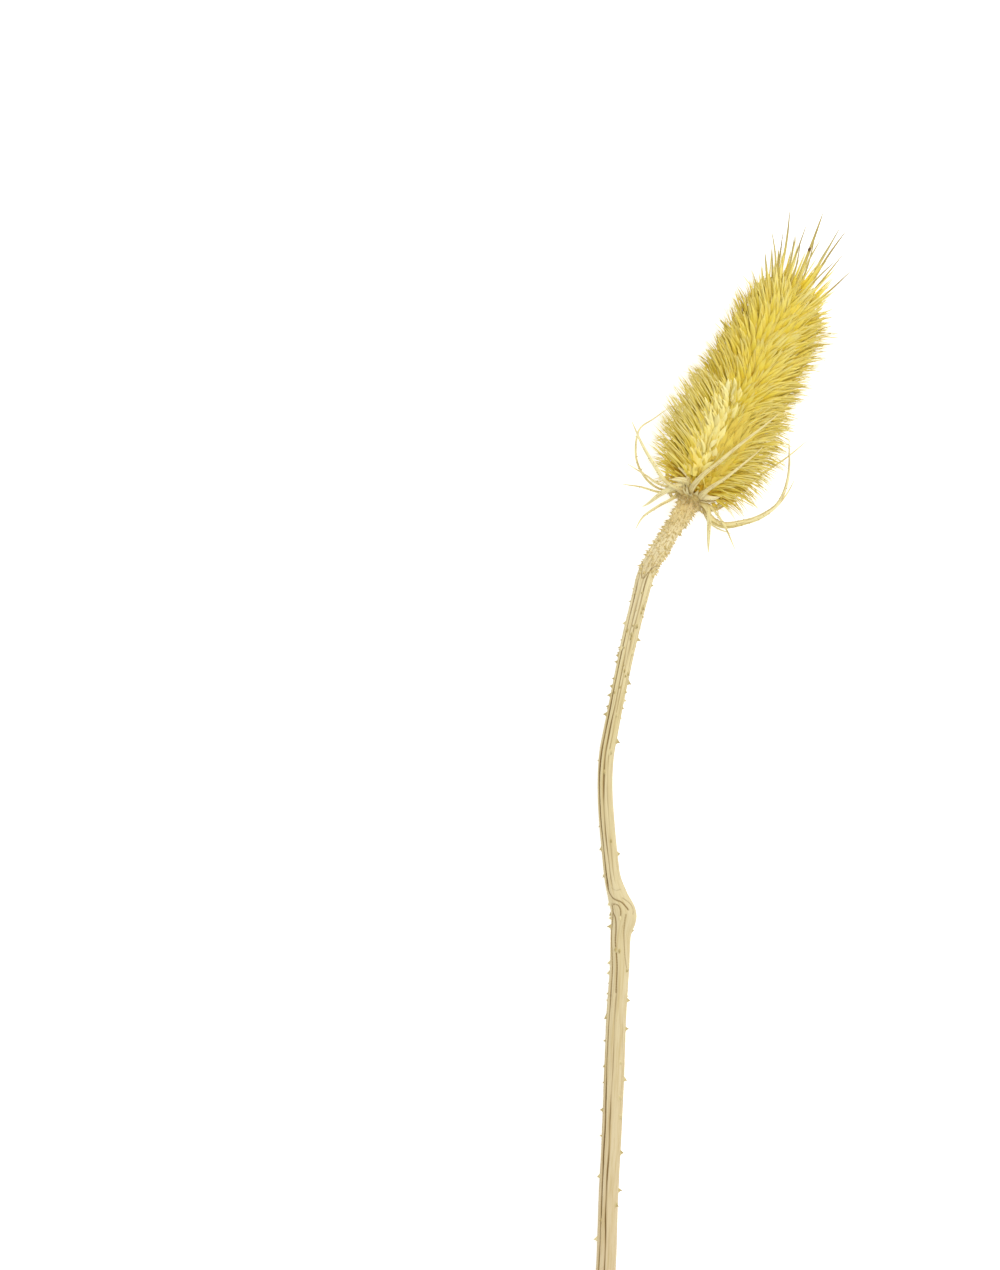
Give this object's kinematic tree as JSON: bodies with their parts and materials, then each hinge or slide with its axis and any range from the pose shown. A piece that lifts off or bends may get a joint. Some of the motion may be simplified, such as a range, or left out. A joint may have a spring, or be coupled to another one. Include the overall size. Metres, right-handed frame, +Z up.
{
  "type": "dried thistle head",
  "caption": "Dried teasel-type thistle head on a length of furrowed, prickly cut stem: a spiny barrel of stiff awns with a top tuft, over a collar of long curved bracts, lying down.",
  "frame": {"origin": "centre of the bounding box's footprint, on the surface that the part lies on", "axes": "+Z up from the surface, +Y from the cut end of the stem towards the tip of the head, +X to the right seen from above"},
  "size_m": [0.0878, 0.3799, 0.0405],
  "materials": {
    "straw_stem": "dry and fibrous, dull",
    "pale_bract": "dry, slightly satin",
    "yellow_awns": "dry, slightly satin"
  },
  "bodies": {
    "root": {"stem": "straw_stem", "involucre": "pale_bract", "seed_head": "yellow_awns"}
  },
  "joints": []
}
